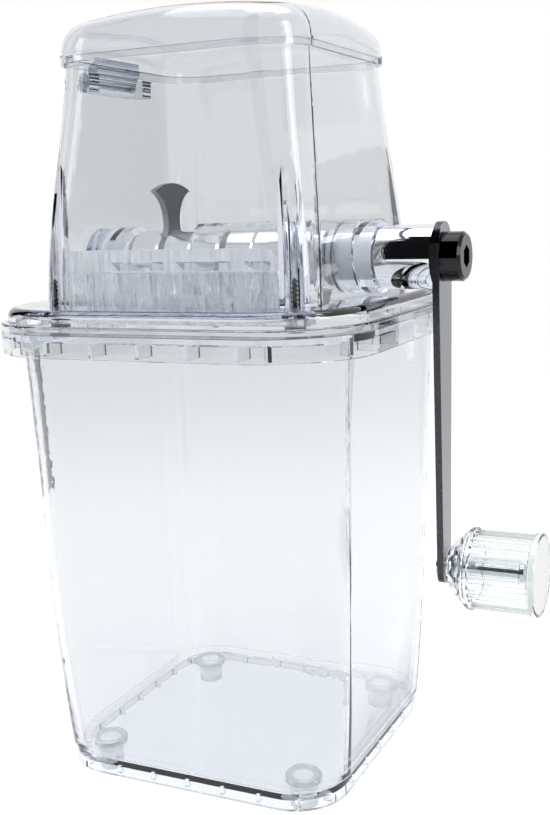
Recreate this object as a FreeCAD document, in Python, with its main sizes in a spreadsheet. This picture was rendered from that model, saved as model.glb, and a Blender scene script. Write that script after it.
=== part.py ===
import FreeCAD, Part
import math
import os
import re
import Sketcher

# Hand-cranked ice shaver, in millimetres. The origin is the centre of the footprint on the table, +X points
# to the crank, -Y to the front (the comb side) and +Z up. A clear container carries a clear hopper with a
# hinged lid; a cranked shaft with three fan blades turns in the hopper between the fins of a comb.

doc = FreeCAD.newDocument("IceShaver")
sheet = doc.addObject("Spreadsheet::Sheet", "Sizes")
SIDES = (("left", -1), ("right", 1))

SIZES = [
    # container
    ("FloorTop", 8.6, "top of the container's floor"),
    ("FloorThick", 2.0, "floor thickness"),
    ("SkirtBottom", 3.7, "lower edge of the base skirt above the table"),
    ("SkirtStep", 10.4, "height of the step between skirt and wall"),
    ("SkirtInset", 1.2, "how far the skirt stands back from the wall"),
    ("BaseHalf", 49.2, "half width of the wall at the step"),
    ("LowHalf", 51.4, "half width of the wall at LowZ"),
    ("LowZ", 50.0, "height of the second wall section"),
    ("MidHalf", 52.9, "half width of the wall at MidZ"),
    ("MidZ", 100.0, "height of the third wall section"),
    ("MouthHalf", 54.2, "half width of the wall at the ledge"),
    ("WallCorner", 18.0, "corner radius of the container wall"),
    ("WallThick", 2.0, "container wall"),
    ("LedgeTop", 147.8, "top of the container's ledge"),
    ("LedgeThick", 2.0, "ledge thickness"),
    ("RimHalfX", 61.3, "half width of the rim across"),
    ("RimHalfY", 63.6, "half width of the rim front to back"),
    ("RimCorner", 30.0, "corner radius of the rim"),
    ("RimThick", 2.0, "rim wall"),
    ("RimBottom", 141.3, "lower edge of the rim skirt"),
    ("RimTop", 150.5, "top of the rim lip"),
    ("RimEdgeRound", 0.6, "rounding of the lip's outer edge"),
    ("RibShort", 0.5, "ribs end above the lower edges"),
    ("RibThick", 1.2, "ribs under the ledge and in the base skirt"),
    ("RibPitch", 15.6, "pitch of the ribs under the ledge"),
    ("CornerRibTurn", 9.0, "corner ribs to each side of the corner's middle, degrees"),
    ("BaseRibPitch", 12.4, "pitch of the ribs in the base skirt"),
    ("BaseRibOut", 1.8, "length of the ribs in the base skirt"),
    # feet
    ("FootReach", 35.0, "foot centres from the middle, both ways"),
    ("FootHead", 11.4, "head diameter of a foot plug"),
    ("FootHeadHigh", 2.0, "height of the plug's head"),
    ("FootNeck", 6.4, "neck diameter in the floor's hole"),
    ("FootBody", 8.4, "diameter of the foot below the floor"),
    ("FootEdge", 0.5, "bevel of the foot's edges"),
    ("FitGap", 0.02, "radial gap of a press fit"),
    # hopper
    ("FlangeGap", 0.3, "gap between the flange and the rim lip"),
    ("FlangeTop", 155.0, "top of the hopper's flange"),
    ("FlangeThick", 2.2, "flange plate and its skirt"),
    ("FlangeRound", 2.6, "rounding of the flange's upper edge"),
    ("HopperFootHalf", 46.0, "half width of the hopper at the flange"),
    ("HopperLowHalf", 44.7, "half width of the hopper at HopperLowZ"),
    ("HopperLowZ", 180.0, "height of the second hopper section"),
    ("HopperMidHalf", 42.1, "half width of the hopper at HopperMidZ"),
    ("HopperMidZ", 205.0, "height of the third hopper section"),
    ("HopperMouthHalf", 40.0, "half width of the hopper at its mouth"),
    ("HopperTop", 229.0, "top edge of the hopper"),
    ("HopperCorner", 10.0, "corner radius of the hopper at the flange"),
    ("MouthCorner", 14.5, "corner radius of the hopper at its mouth"),
    ("HopperWall", 2.2, "hopper wall"),
    ("PillarReachX", 39.6, "corner pillars from the middle, across"),
    ("PillarReachY", 41.4, "corner pillars from the middle, front to back"),
    ("PillarDia", 8.0, "diameter of the corner pillars"),
    ("PillarTop", 212.0, "top of the pillars, inside the leaning wall"),
    ("PilotTop", 189.0, "top of the screw holes in the front pillars"),
    ("ChuteTop", 178.0, "where the rear chute meets the rear wall"),
    ("ChuteLow", 168.5, "lower edge of the rear chute"),
    ("ChuteReach", 27.0, "distance of the chute's edge from the shaft"),
    ("ChuteThick", 2.2, "rear chute thickness"),
    # bearings and shaft
    ("AxisZ", 166.5, "height of the crank axis"),
    ("BossDia", 22.0, "bearing bosses on the side walls"),
    ("BossInner", 35.0, "inner face of the bosses from the middle"),
    ("BossOuter", 51.2, "outer face of the bosses from the middle"),
    ("BushDia", 14.0, "outside of the bushes"),
    ("BushFlange", 17.2, "flange diameter of the bushes"),
    ("BushFlangeThick", 1.0, "flange thickness of the bushes"),
    ("ShaftDia", 10.0, "shaft diameter"),
    ("ShaftFlats", 8.0, "width across the shaft's two flats"),
    ("RunGap", 0.06, "radial running gap of the shaft in its bushes"),
    ("SlipGap", 0.03, "radial gap of the rings and blades on the shaft"),
    ("LeftBlind", 48.2, "depth of the closed left bearing from the middle"),
    ("ShaftLeft", 47.4, "left end of the shaft from the middle"),
    ("BushShort", 0.3, "left bush ends before its blind bore"),
    # drum
    ("RingDia", 19.5, "spacer rings and crank sleeve"),
    ("RingLong", 10.2, "length of a spacer ring"),
    ("RingEdge", 0.7, "bevel of the ring edges"),
    ("BladeThick", 2.0, "blade thickness"),
    ("BladeReach", 25.0, "blade tip from the axis"),
    ("BladeFan", 26.5, "half angle of the blade's tip, degrees"),
    ("BladeWaist", 7.6, "blade width at its waist"),
    ("BladeWaistAt", 12.5, "waist from the axis"),
    ("BladeRoot", 2.75, "blade's root inside the rings"),
    ("ClipThick", 0.8, "retaining clip thickness"),
    ("ClipOut", 2.5, "clip stands out from the shaft"),
    ("ClipBite", 0.7, "depth of the clip grooves"),
    ("ClipMouthWide", 5.0, "opening of the clips"),
    # crank
    ("SleeveStart", 51.6, "inner end of the crank sleeve"),
    ("ArmIn", 68.8, "inner face of the arm"),
    ("ArmThick", 2.2, "arm thickness"),
    ("ArmHeadWide", 12.6, "arm width at the shaft"),
    ("ArmTipWide", 7.6, "arm width at the grip pin"),
    ("ArmHeadUp", 10.5, "arm above the axis"),
    ("ArmTipDown", 5.5, "arm below the grip pin"),
    ("CrankRadius", 96.5, "crank radius"),
    ("NoseDia", 8.0, "shaft end in the arm"),
    ("NoseFlats", 6.0, "width across the flats of the shaft end"),
    ("NoseShort", 0.3, "shaft end behind the arm's outer face"),
    ("TapDia", 5.0, "threaded hole in the shaft end, at the thread's root"),
    ("TapDeep", 16.0, "depth of the threaded hole"),
    ("ScrewHead", 14.9, "crank screw head diameter"),
    ("ScrewHeadHigh", 6.5, "crank screw head height"),
    ("ScrewLong", 14.0, "crank screw length under the head"),
    ("ScrewSocket", 7.0, "hexagon socket across corners"),
    ("ScrewSocketDeep", 3.6, "hexagon socket depth"),
    ("ScrewEdge", 0.9, "bevel of the screw head"),
    # grip
    ("GripGap", 0.8, "grip's inner end from the arm"),
    ("GripLong", 29.0, "grip length"),
    ("GripNose", 6.3, "radius of the grip's inner end"),
    ("GripShoulder", 11.0, "radius of the grip 5 mm from its inner end"),
    ("GripBarrel", 11.8, "radius of the grip's barrel"),
    ("GripLip", 12.9, "radius of the grip's two end rings"),
    ("GripRib", 0.6, "height of the grip's ribs"),
    ("GripRibCount", 30, "number of ribs"),
    ("GripRibWide", 1.1, "width of a rib"),
    ("GripLipWall", 0.9, "wall of the end ring round the cap"),
    ("GripWall", 1.8, "grip wall"),
    ("GripHub", 3.6, "radius of the tube round the pin"),
    ("GripPinDia", 3.2, "grip pin diameter"),
    ("PinGap", 0.08, "radial running gap on the pins"),
    ("PinReach", 23.5, "grip pin from the arm to its outer head"),
    ("PinHead", 6.0, "diameter of the grip pin's two heads"),
    ("PinHeadHigh", 1.2, "height of the pin's outer head"),
    ("RivetHigh", 0.7, "height of the pin's riveted end"),
    ("PinPlay", 0.3, "end play of the grip on its pin"),
    ("CapThick", 1.5, "end cap thickness"),
    ("CapInset", 0.4, "end cap behind the grip's rim"),
    # comb
    ("CombHalf", 35.4, "half length of the comb"),
    ("CombGap", 0.1, "comb in front of the hopper's inner wall"),
    ("CombWall", 2.2, "comb front wall"),
    ("CombTop", 171.5, "top of the comb's rail"),
    ("WindowTop", 167.9, "top of the comb's windows"),
    ("WindowLow", 165.2, "bottom of the comb's windows"),
    ("EarThick", 3.0, "screw ears of the comb"),
    ("FinThick", 3.0, "fin thickness"),
    ("FinPitch", 11.2, "fin pitch"),
    ("FinSlope", 14.0, "slope of the fins' upper edge, degrees"),
    ("FinReach", 6.0, "fin tips in front of the axis"),
    ("EarWide", 4.4, "half width of the comb's foot rail and ears"),
    ("SlotZ", 159.6, "height of the comb's small slots"),
    ("SlotWide", 3.0, "width of the small slots"),
    ("SlotHigh", 2.4, "height of the small slots"),
    ("DrumGap", 1.4, "fins clear of the drum"),
    ("CombScrewDia", 3.0, "comb screw, over the thread"),
    ("CombScrewHead", 6.0, "comb screw head"),
    ("CombScrewHeadHigh", 2.0, "comb screw head height"),
    ("CombScrewLong", 13.0, "comb screw under its head"),
    # lid and hinge
    ("LidHalfX", 41.6, "half width of the lid across"),
    ("LidHalfY", 42.2, "half width of the lid front to back"),
    ("LidCorner", 16.0, "corner radius of the lid"),
    ("LidBottom", 227.0, "lower edge of the lid"),
    ("LidBead", 2.6, "height of the bead round the lid's edge"),
    ("LidBeadOut", 0.5, "how far the bead stands out"),
    ("LidTop", 243.4, "crown of the lid"),
    ("LidCrown", 236.0, "radius of the crown"),
    ("LidRound", 8.6, "rounding between side and crown"),
    ("LidThick", 2.0, "lid thickness over the crown"),
    ("LidSideThick", 2.6, "lid side wall above the hopper's edge"),
    ("LidGap", 0.35, "gap between the lid's edge and the hopper"),
    ("HingeReach", 46.0, "hinge pin from the middle"),
    ("HingeZ", 224.0, "hinge pin height"),
    ("HingePinDia", 2.4, "hinge pin diameter"),
    ("KnuckleRad", 3.2, "radius of the hinge barrel and ears"),
    ("KnuckleHalf", 12.7, "half length of the lid's barrel"),
    ("EarIn", 13.1, "inner face of the hopper's ears"),
    ("EarOut", 18.6, "outer face of the hopper's ears"),
    ("EarDrop", 0.8, "ear webs below the ears' tops"),
]

for row, (name, value, note) in enumerate(SIZES, start=1):
    sheet.set(f"A{row}", name)
    sheet.set(f"B{row}", str(value))
    sheet.set(f"C{row}", note)
    sheet.setAlias(f"B{row}", name)
doc.recompute()
slate = doc.addObject("Spreadsheet::Sheet", "Slate")

NAMES = re.compile(r"\b(" + "|".join(name for name, value, note in SIZES) + r")\b")
AXES = {"X": FreeCAD.Rotation(FreeCAD.Vector(0, 1, 0), 90),
        "Y": FreeCAD.Rotation(FreeCAD.Vector(-1, 0, 0), 90),
        "Z": FreeCAD.Rotation()}
pieces = []


def bind(thing, prop, expression):
    """Binds a property to sizes from the sheet."""
    thing.setExpression(prop, NAMES.sub(r"Sizes.\1", expression))


def value(expression):
    """The present number of an expression, for a sketch's first lines and for what can't be bound."""
    slate.set("A1", "=" + NAMES.sub(r"Sizes.\1", expression))
    slate.recompute()
    return float(slate.get("A1"))


def put(thing, x, y, z):
    """Binds the position of a primitive."""
    bind(thing, ".Placement.Base.x", x)
    bind(thing, ".Placement.Base.y", y)
    bind(thing, ".Placement.Base.z", z)
    return thing


def box(name, long, wide, high, x, y, z):
    """A box whose lower left front corner is at x, y, z."""
    thing = doc.addObject("Part::Box", name)
    bind(thing, "Length", long)
    bind(thing, "Width", wide)
    bind(thing, "Height", high)
    return put(thing, x, y, z)


def rod(name, axis, diameter, long, x, y, z):
    """A cylinder that starts at x, y, z and runs along the axis."""
    thing = doc.addObject("Part::Cylinder", name)
    bind(thing, "Radius", f"({diameter}) / 2")
    bind(thing, "Height", long)
    thing.Placement.Rotation = AXES[axis]
    return put(thing, x, y, z)


def fuse(name, *shapes):
    thing = doc.addObject("Part::MultiFuse", name)
    thing.Shapes = list(shapes)
    thing.Refine = True
    return thing


def cut(name, base, tool):
    thing = doc.addObject("Part::Cut", name)
    thing.Base = base
    thing.Tool = tool
    return thing


def common(name, first, second):
    thing = doc.addObject("Part::Common", name)
    thing.Base = first
    thing.Tool = second
    return thing


def piece(thing, label):
    """Names a finished piece; the name is also its file's name."""
    thing.Label = label
    pieces.append(thing)
    return thing


def new_body(name):
    return doc.addObject("PartDesign::Body", name)


def sketch(body, name, role, away="0", along="0", up="0"):
    """A sketch on one of the body's own planes, moved along the plane's normal and within the plane."""
    thing = body.newObject("Sketcher::SketchObject", name)
    thing.AttachmentSupport = [(next(f for f in body.Origin.OriginFeatures if f.Role == role), "")]
    thing.MapMode = "FlatFace"
    bind(thing, ".AttachmentOffset.Base.x", along)
    bind(thing, ".AttachmentOffset.Base.y", up)
    bind(thing, ".AttachmentOffset.Base.z", away)
    return thing


def dimension(thing, kind, refs, expression):
    """A sketch dimension bound to the sheet."""
    index = thing.addConstraint(Sketcher.Constraint(kind, *refs, value(expression)))
    bind(thing, f"Constraints[{index}]", expression)


def rounded(body, name, z, half_x, half_y, corner):
    """A rounded rectangle about the vertical axis at height z."""
    thing = sketch(body, name, "XY_Plane", z)
    a, b, r = value(half_x), value(half_y), value(corner)
    centres = [(a - r, b - r), (a - r, r - b), (r - a, r - b), (r - a, b - r)]
    ends = [((r - a, b), (a - r, b)), ((a, b - r), (a, r - b)), ((a - r, -b), (r - a, -b)),
            ((-a, r - b), (-a, b - r))]
    for number in range(4):
        start, end = (FreeCAD.Vector(u, v, 0) for u, v in ends[number])
        thing.addGeometry(Part.LineSegment(start, end))
        circle = Part.Circle(FreeCAD.Vector(*centres[number], 0), FreeCAD.Vector(0, 0, 1), r)
        first = math.radians(-90 * number)
        thing.addGeometry(Part.ArcOfCircle(circle, first, first + math.pi / 2))
    for number in range(4):
        line, arc, after = 2 * number, 2 * number + 1, (2 * number + 2) % 8
        thing.addConstraint(Sketcher.Constraint("Tangent", line, 2, arc, 2))
        thing.addConstraint(Sketcher.Constraint("Tangent", arc, 1, after, 1))
        thing.addConstraint(Sketcher.Constraint("Horizontal" if number % 2 == 0 else "Vertical", line))
    for arc in (3, 5, 7):
        thing.addConstraint(Sketcher.Constraint("Equal", 1, arc))
    thing.addConstraint(Sketcher.Constraint("Symmetric", 0, 1, 4, 1, -1, 1))
    dimension(thing, "DistanceX", (6, 1, 2, 1), f"2 * ({half_x})")
    dimension(thing, "DistanceY", (4, 1, 0, 1), f"2 * ({half_y})")
    dimension(thing, "Radius", (1,), corner)
    return thing


def outline(thing, corners):
    """Closed straight-sided outline, each corner bound to the sheet."""
    start = thing.GeometryCount
    points = [FreeCAD.Vector(value(u), value(v), 0) for u, v in corners]
    count = len(points)
    for number in range(count):
        thing.addGeometry(Part.LineSegment(points[number], points[(number + 1) % count]))
    for number, (u, v) in enumerate(corners):
        after = start + (number + 1) % count
        thing.addConstraint(Sketcher.Constraint("Coincident", start + number, 2, after, 1))
        dimension(thing, "DistanceX", (-1, 1, start + number, 1), u)
        dimension(thing, "DistanceY", (-1, 1, start + number, 1), v)
    return thing


def bar(thing, half_u, half_v):
    """A rectangle about the sketch's own centre."""
    return outline(thing, [(f"0 - ({half_u})", f"0 - ({half_v})"), (half_u, f"0 - ({half_v})"),
                           (half_u, half_v),
                           (f"0 - ({half_u})", half_v)])


def disc(thing, u, v, diameter):
    """A circle bound to the sheet."""
    number = thing.GeometryCount
    centre = FreeCAD.Vector(value(u), value(v), 0)
    thing.addGeometry(Part.Circle(centre, FreeCAD.Vector(0, 0, 1), value(f"({diameter}) / 2")))
    dimension(thing, "DistanceX", (-1, 1, number, 3), u)
    dimension(thing, "DistanceY", (-1, 1, number, 3), v)
    dimension(thing, "Diameter", (number,), diameter)
    return thing


def pad(body, name, profile, long, down=False, middle=False):
    thing = body.newObject("PartDesign::Pad", name)
    thing.Profile = profile
    bind(thing, "Length", long)
    thing.Reversed = down
    thing.Midplane = middle
    return thing


def pocket(body, name, profile, deep, up=False, middle=False):
    """Cuts against the sketch's normal, or along it when up is set."""
    before = body.Shape.Volume if body.Tip else 0
    thing = body.newObject("PartDesign::Pocket", name)
    thing.Profile = profile
    bind(thing, "Length", deep)
    thing.Reversed = up
    thing.Midplane = middle
    doc.recompute()
    if not body.Shape.Volume < before - 0.01:
        raise RuntimeError(f"{name} cuts nothing")
    return thing


def loft(body, name, kind, sections):
    """A loft through rounded rectangles, each given by height, two half widths and corner radius."""
    rings = [rounded(body, f"{name}Ring{number}", *section) for number, section in enumerate(sections)]
    thing = body.newObject(f"PartDesign::{kind}Loft", name)
    thing.Profile = rings[0]
    thing.Sections = rings[1:]
    doc.recompute()
    return thing


def row_of(body, name, feature, profile, axis, long, count):
    """Repeats a feature along a sketch axis."""
    thing = body.newObject("PartDesign::LinearPattern", name)
    thing.Originals = [feature]
    thing.Direction = (profile, [axis])
    bind(thing, "Length", long)
    thing.Occurrences = count
    body.Tip = thing
    doc.recompute()
    return thing


def round_edges(body, name, feature, radius, height):
    """Fillets the feature's edges that lie at one height."""
    doc.recompute()
    level = value(height)
    names = []
    for number, edge in enumerate(feature.Shape.Edges, start=1):
        if abs(edge.BoundBox.ZMin - level) < 1e-4 and abs(edge.BoundBox.ZMax - level) < 1e-4:
            names.append(f"Edge{number}")
    thing = body.newObject("PartDesign::Fillet", name)
    thing.Base = (feature, names)
    bind(thing, "Radius", radius)
    doc.recompute()
    return thing


# Container: one clear moulding. A tapered square wall stands on a ribbed base skirt; at the mouth a ledge
# carries the hopper, with a rim that hangs outside the wall and a lip above the ledge.
def container():
    body = new_body("Container")
    rim = pad(body, "Rim", rounded(body, "RimPlan", "RimBottom", "RimHalfX", "RimHalfY", "RimCorner"),
              "RimTop - RimBottom")
    round_edges(body, "RimEdge", rim, "RimEdgeRound", "RimTop")
    inner = ("RimHalfX - RimThick", "RimHalfY - RimThick", "RimCorner - RimThick")
    pocket(body, "LipRecess", rounded(body, "LipPlan", "RimTop", *inner), "RimTop - LedgeTop")
    pocket(body, "RimRecess", rounded(body, "RecessPlan", "RimBottom", *inner),
           "LedgeTop - LedgeThick - RimBottom", up=True)
    high = "LedgeTop - LedgeThick - RimBottom - RibShort"
    for name, axis, half_u, half_v in (("Across", "H_Axis", "RibThick / 2", "RimHalfY - RimThick / 2"),
                                       ("Deep", "V_Axis", "RimHalfX - RimThick / 2", "RibThick / 2")):
        along, up = ("0 - 2 * RibPitch", "0") if axis == "H_Axis" else ("0", "0 - 2 * RibPitch")
        plan = sketch(body, f"{name}RibPlan", "XY_Plane", "RimBottom + RibShort", along, up)
        bar(plan, half_u, half_v)
        rib = pad(body, f"{name}Rib", plan, high)
        row_of(body, f"{name}Ribs", rib, plan, axis, "4 * RibPitch", 5)
    corner_x, corner_y = "RimHalfX - RimCorner", "RimHalfY - RimCorner"
    centre = f"sqrt(({corner_x}) ^ 2 + ({corner_y}) ^ 2)"
    reach = (f"{centre} * cos(CornerRibTurn)"
             f" + sqrt((RimCorner - RimThick / 2) ^ 2 - ({centre} * sin(CornerRibTurn)) ^ 2)")
    for side, way in ((1, 1), (1, -1), (-1, 1), (-1, -1)):
        plan = sketch(body, "CornerRibPlan", "XY_Plane", "RimBottom + RibShort")
        bind(plan, ".AttachmentOffset.Rotation.Angle",
             f"{side} * atan2({corner_y}; {corner_x}) + {way} * CornerRibTurn * 1 deg")
        bar(plan, reach, "RibThick / 2")
        pad(body, "CornerRib", plan, high)
    pad(body, "Collar", rounded(body, "CollarPlan", "RimBottom", "MouthHalf", "MouthHalf", "WallCorner"),
        "LedgeTop - RimBottom")
    pocket(body, "Mouth", rounded(body, "MouthPlan", "RimTop", "MouthHalf - WallThick",
                                  "MouthHalf - WallThick",
                                  "WallCorner - WallThick"), "RimTop - RimBottom")
    loft(body, "Wall", "Additive", [("SkirtStep", "BaseHalf", "BaseHalf", "WallCorner"),
                                    ("LowZ", "LowHalf", "LowHalf", "WallCorner"),
                                    ("MidZ", "MidHalf", "MidHalf", "WallCorner"),
                                    ("RimBottom", "MouthHalf", "MouthHalf", "WallCorner")])
    skirt = ("BaseHalf - SkirtInset", "BaseHalf - SkirtInset", "WallCorner - SkirtInset")
    pad(body, "Skirt", rounded(body, "SkirtPlan", "SkirtBottom", *skirt), "SkirtStep - SkirtBottom")
    hollow = [f"{term} - WallThick" for term in skirt]
    loft(body, "Inside", "Subtractive", [
        ("FloorTop", *hollow),
        ("LowZ", "LowHalf - WallThick", "LowHalf - WallThick", "WallCorner - WallThick"),
        ("MidZ", "MidHalf - WallThick", "MidHalf - WallThick", "WallCorner - WallThick"),
        ("RimBottom", "MouthHalf - WallThick", "MouthHalf - WallThick", "WallCorner - WallThick")])
    under = "FloorTop - FloorThick - SkirtBottom"
    pocket(body, "Under", rounded(body, "UnderPlan", "SkirtBottom", *hollow), under, up=True)
    half = "BaseHalf - SkirtInset - WallThick / 2"
    for name, axis, half_u, half_v in (("BaseAcross", "H_Axis", "RibThick / 2", half),
                                       ("BaseDeep", "V_Axis", half, "RibThick / 2")):
        along, up = ("0 - 3 * BaseRibPitch", "0") if axis == "H_Axis" else ("0", "0 - 3 * BaseRibPitch")
        plan = sketch(body, f"{name}Plan", "XY_Plane", "SkirtBottom + RibShort", along, up)
        bar(plan, half_u, half_v)
        rib = pad(body, name, plan, f"{under} - RibShort")
        row_of(body, f"{name}Ribs", rib, plan, axis, "6 * BaseRibPitch", 7)
    clear = [f"{term} - WallThick - BaseRibOut" for term in skirt]
    pocket(body, "UnderMiddle", rounded(body, "MiddlePlan", "SkirtBottom", *clear), under, up=True)
    holes = sketch(body, "FootHoles", "XY_Plane", "FloorTop")
    for u in ("FootReach", "0 - FootReach"):
        for v in ("FootReach", "0 - FootReach"):
            disc(holes, u, v, "FootNeck + 2 * FitGap")
    pocket(body, "FootHole", holes, "FloorThick")
    piece(body, "container")


# Feet: four soft clear plugs. Each neck fills a hole in the floor, with a head above it and a longer body
# below.
def feet():
    for name, x, y in (("front_left", "0 - FootReach", "0 - FootReach"),
                       ("front_right", "FootReach", "0 - FootReach"),
                       ("rear_left", "0 - FootReach", "FootReach"), ("rear_right", "FootReach", "FootReach")):
        body = new_body(f"Foot_{name}")
        profile = sketch(body, f"FootProfile_{name}", "XZ_Plane")
        outline(profile, [("0", "0"), ("FootBody / 2 - FootEdge", "0"), ("FootBody / 2", "FootEdge"),
                          ("FootBody / 2", "FloorTop - FloorThick"),
                          ("FootNeck / 2", "FloorTop - FloorThick"),
                          ("FootNeck / 2", "FloorTop"), ("FootHead / 2", "FloorTop"),
                          ("FootHead / 2", "FloorTop + FootHeadHigh - FootEdge"),
                          ("FootHead / 2 - FootEdge", "FloorTop + FootHeadHigh"),
                          ("0", "FloorTop + FootHeadHigh")])
        turn = body.newObject("PartDesign::Revolution", f"FootTurn_{name}")
        turn.Profile = profile
        turn.ReferenceAxis = (profile, ["V_Axis"])
        put(body, x, y, "0")
        piece(body, f"foot_{name}")


# Hopper: one clear moulding. A tray-like flange rests on the container's ledge, a bowed square wall stands on
# it, and the wall carries the two shaft bosses, a rear chute, the two hinge ears and a pillar in each corner,
# of which the front two are bored for the comb's screws. The pillars fade into the wall as it leans in.
def hopper():
    body = new_body("HopperShell")
    flange = ("RimHalfX - RimThick - FlangeGap", "RimHalfY - RimThick - FlangeGap",
              "RimCorner - RimThick - FlangeGap")
    plate = pad(body, "Flange", rounded(body, "FlangePlan", "LedgeTop", *flange), "FlangeTop - LedgeTop")
    round_edges(body, "FlangeEdge", plate, "FlangeRound", "FlangeTop")
    pocket(body, "FlangeRecess", rounded(body, "FlangeInner", "LedgeTop",
                                         *[f"{term} - FlangeThick" for term in flange]),
           "FlangeTop - FlangeThick - LedgeTop", up=True)
    levels = [("FlangeTop - FlangeThick", "HopperFootHalf"), ("HopperLowZ", "HopperLowHalf"),
              ("HopperMidZ", "HopperMidHalf"), ("HopperTop", "HopperMouthHalf")]
    growth = "(MouthCorner - HopperCorner) / (HopperTop - FlangeTop)"
    sections = [(z, half, half, f"HopperCorner + ({z} - FlangeTop) * {growth}") for z, half in levels]
    loft(body, "HopperWallOut", "Additive", sections)
    inner = [(z, *[f"{term} - HopperWall" for term in terms]) for z, *terms in sections]
    inner[0] = ("LedgeTop", *inner[0][1:])
    inner[3] = ("HopperTop + 1", *inner[3][1:])
    loft(body, "HopperWallIn", "Subtractive", inner)
    form = new_body("HopperForm")
    loft(form, "HopperFormWall", "Additive", sections)
    grown = [body]

    chute = new_body("Chute")
    profile = sketch(chute, "ChuteProfile", "YZ_Plane")
    rear = "HopperLowHalf - HopperWall / 2"
    outline(profile, [("ChuteReach", "ChuteLow - ChuteThick"), (rear, "ChuteTop - ChuteThick"),
                      (rear, "ChuteTop"),
                      ("ChuteReach", "ChuteLow")])
    pad(chute, "ChuteSlab", profile, f"2 * ({rear})", middle=True)
    shell = new_body("ChuteLimit")
    pad(shell, "ChuteLimitPad", rounded(shell, "ChuteLimitPlan", "ChuteLow - ChuteThick", rear, rear,
                                        "HopperCorner - HopperWall / 2"), "ChuteTop - ChuteLow + ChuteThick")
    grown.append(common("ChuteSolid", chute, shell))

    for name, side in SIDES:
        start = "BossInner" if side > 0 else "0 - BossOuter"
        grown.append(rod(f"Boss_{name}", "X", "BossDia", "BossOuter - BossInner", start, "0", "AxisZ"))
        for end, way in (("Front", -1), ("Rear", 1)):
            pillar = rod(f"{end}PillarRod_{name}", "Z", "PillarDia", "PillarTop - FlangeTop + FlangeThick",
                         f"{side} * PillarReachX", f"{way} * PillarReachY", "FlangeTop - FlangeThick")
            grown.append(common(f"{end}Pillar_{name}", pillar, form))
    for number, start in enumerate(("EarIn", "0 - EarOut")):
        grown.append(rod(f"EarEnd{number}", "Y", "2 * KnuckleRad", "EarOut - EarIn", "0 - HingeReach", start,
                         "HingeZ"))
        grown.append(box(f"EarWeb{number}", "HingeReach - HopperMouthHalf + HopperWall / 2", "EarOut - EarIn",
                         "2 * KnuckleRad - EarDrop", "0 - HingeReach", start, "HingeZ - KnuckleRad"))
    solid = fuse("HopperSolid", *grown)

    bore, wide = "BushDia + 2 * FitGap", "BushFlange + 2 * FitGap"
    tools = [
        rod("BoreRight", "X", bore, "BossOuter - BossInner + 2", "BossInner - 1", "0", "AxisZ"),
        rod("BoreLeft", "X", bore, "LeftBlind - BossInner + 1", "0 - LeftBlind", "0", "AxisZ"),
        rod("SeatRight", "X", wide, "BushFlangeThick + 1", "BossInner - 1", "0", "AxisZ"),
        rod("SeatLeft", "X", wide, "BushFlangeThick + 1", "0 - BossInner - BushFlangeThick", "0", "AxisZ"),
        rod("EarBore", "Y", "HingePinDia + 2 * FitGap", "2 * EarOut + 2", "0 - HingeReach", "0 - EarOut - 1",
            "HingeZ"),
    ]
    for name, side in SIDES:
        tools.append(rod(f"Pilot_{name}", "Z", "CombScrewDia + 2 * FitGap",
                         "PilotTop - FlangeTop + FlangeThick + 1",
                         f"{side} * PillarReachX", "0 - PillarReachY", "FlangeTop - FlangeThick - 1"))
    piece(cut("Hopper", solid, fuse("HopperBores", *tools)), "hopper")


# Bushes: white plastic bearings pressed into the bosses, each with a flange towards the drum. The left one is
# closed in by its boss and is bored for the shaft's thinner end.
def bushes():
    for name, side, inside, long in (("left", -1, "ShaftFlats", "LeftBlind - BossInner - BushShort"),
                                     ("right", 1, "ShaftDia", "BossOuter - BossInner")):
        start = "BossInner" if side > 0 else f"0 - BossInner - ({long})"
        lip = "BossInner" if side > 0 else "0 - BossInner - BushFlangeThick"
        outside = fuse(f"BushOut_{name}", rod(f"BushTube_{name}", "X", "BushDia", long, start, "0", "AxisZ"),
                       rod(f"BushLip_{name}", "X", "BushFlange", "BushFlangeThick", lip, "0", "AxisZ"))
        bore = rod(f"BushBore_{name}", "X", f"{inside} + 2 * RunGap", f"{long} + 2", f"{start} - 1", "0",
                   "AxisZ")
        piece(cut(f"Bush_{name}", outside, bore), f"{name}_bush")


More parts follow.
